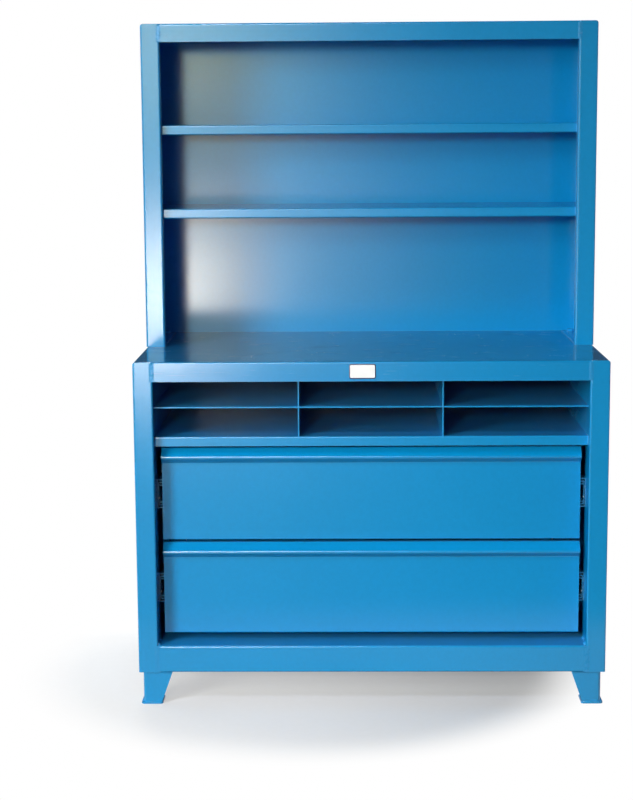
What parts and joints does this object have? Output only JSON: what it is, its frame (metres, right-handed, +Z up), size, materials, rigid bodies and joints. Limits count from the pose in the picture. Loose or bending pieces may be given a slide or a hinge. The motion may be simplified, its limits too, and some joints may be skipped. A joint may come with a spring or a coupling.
{
  "type": "bench cabinet with shelves",
  "caption": "Steel bench cabinet with pigeonholes and wide drawers on ball bearing slides, and an open shelf unit standing on its worktop.",
  "frame": {"origin": "on the floor, at the centre of the base cabinet's footprint", "axes": "+X to the cabinet's right as seen from the front, +Y to the back, +Z up; drawers open towards -Y"},
  "size_m": [1.2192, 0.6858, 1.771],
  "materials": {
    "body_enamel": "semi-gloss blue enamel",
    "worktop_enamel": "semi-gloss blue enamel, worn by use",
    "shelf_enamel": "semi-gloss blue enamel",
    "drawer_enamel": "semi-gloss blue enamel",
    "leg_enamel": "semi-gloss blue enamel",
    "zinc_steel": "bright zinc plated rolled steel",
    "cage_steel": "plain steel strip with polished balls",
    "bolt_steel": "zinc plated"
  },
  "bodies": {
    "cabinet": {"base_back_panel": "body_enamel", "base_floor_pan": "body_enamel", "base_left_side": "body_enamel", "base_right_side": "body_enamel", "cubby_floor_shelf": "shelf_enamel", "cubby_left_divider": "shelf_enamel", "cubby_left_wall": "shelf_enamel", "cubby_mid_shelf": "shelf_enamel", "cubby_right_divider": "shelf_enamel", "cubby_right_wall": "shelf_enamel", "foot_pad_front_left": "leg_enamel", "foot_pad_front_right": "leg_enamel", "foot_pad_rear_left": "leg_enamel", "foot_pad_rear_right": "leg_enamel", "hutch_back_panel": "body_enamel", "hutch_bolts": "bolt_steel", "hutch_left_side": "body_enamel", "hutch_lower_shelf": "shelf_enamel", "hutch_right_side": "body_enamel", "hutch_top": "body_enamel", "hutch_upper_shelf": "shelf_enamel", "leg_front_left": "leg_enamel", "leg_front_right": "leg_enamel", "leg_rear_left": "leg_enamel", "leg_rear_right": "leg_enamel", "shelf_brackets": "shelf_enamel", "slide_lower_left_outer_rail": "zinc_steel", "slide_lower_right_outer_rail": "zinc_steel", "slide_upper_left_outer_rail": "zinc_steel", "slide_upper_right_outer_rail": "zinc_steel", "slide_upright_left_middle": "body_enamel", "slide_upright_left_rear": "body_enamel", "slide_upright_right_middle": "body_enamel", "slide_upright_right_rear": "body_enamel", "worktop": "worktop_enamel"},
    "drawer_upper": {"drawer_upper_back": "drawer_enamel", "drawer_upper_body": "drawer_enamel", "drawer_upper_front": "drawer_enamel", "slide_upper_left_inner_rail": "zinc_steel", "slide_upper_right_inner_rail": "zinc_steel"},
    "middle_rails_upper": {"slide_upper_left_middle_rail": "zinc_steel", "slide_upper_right_middle_rail": "zinc_steel"},
    "outer_cages_upper": {"slide_upper_outer_ball_cages": "cage_steel"},
    "inner_cages_upper": {"slide_upper_inner_ball_cages": "cage_steel"},
    "drawer_lower": {"drawer_lower_back": "drawer_enamel", "drawer_lower_body": "drawer_enamel", "drawer_lower_front": "drawer_enamel", "slide_lower_left_inner_rail": "zinc_steel", "slide_lower_right_inner_rail": "zinc_steel"},
    "middle_rails_lower": {"slide_lower_left_middle_rail": "zinc_steel", "slide_lower_right_middle_rail": "zinc_steel"},
    "outer_cages_lower": {"slide_lower_outer_ball_cages": "cage_steel"},
    "inner_cages_lower": {"slide_lower_inner_ball_cages": "cage_steel"}
  },
  "joints": [
    {"name": "drawer_upper_slide", "type": "slide", "parent": "cabinet", "child": "drawer_upper", "axis": [0, -1, 0], "range_m": [0, 0.6]},
    {"name": "middle_rails_upper_slide", "type": "slide", "parent": "cabinet", "child": "middle_rails_upper", "axis": [0, -1, 0], "range_m": [0, 0.3]},
    {"name": "outer_cages_upper_slide", "type": "slide", "parent": "cabinet", "child": "outer_cages_upper", "axis": [0, -1, 0], "range_m": [0, 0.15]},
    {"name": "inner_cages_upper_slide", "type": "slide", "parent": "cabinet", "child": "inner_cages_upper", "axis": [0, -1, 0], "range_m": [0, 0.45]},
    {"name": "drawer_lower_slide", "type": "slide", "parent": "cabinet", "child": "drawer_lower", "axis": [0, -1, 0], "range_m": [0, 0.6]},
    {"name": "middle_rails_lower_slide", "type": "slide", "parent": "cabinet", "child": "middle_rails_lower", "axis": [0, -1, 0], "range_m": [0, 0.3]},
    {"name": "outer_cages_lower_slide", "type": "slide", "parent": "cabinet", "child": "outer_cages_lower", "axis": [0, -1, 0], "range_m": [0, 0.15]},
    {"name": "inner_cages_lower_slide", "type": "slide", "parent": "cabinet", "child": "inner_cages_lower", "axis": [0, -1, 0], "range_m": [0, 0.45]}
  ],
  "couplings": [
    {"joint": "middle_rails_upper_slide", "follows": "drawer_upper_slide", "ratio": 0.5},
    {"joint": "outer_cages_upper_slide", "follows": "drawer_upper_slide", "ratio": 0.25},
    {"joint": "inner_cages_upper_slide", "follows": "drawer_upper_slide", "ratio": 0.75},
    {"joint": "middle_rails_lower_slide", "follows": "drawer_lower_slide", "ratio": 0.5},
    {"joint": "outer_cages_lower_slide", "follows": "drawer_lower_slide", "ratio": 0.25},
    {"joint": "inner_cages_lower_slide", "follows": "drawer_lower_slide", "ratio": 0.75}
  ]
}
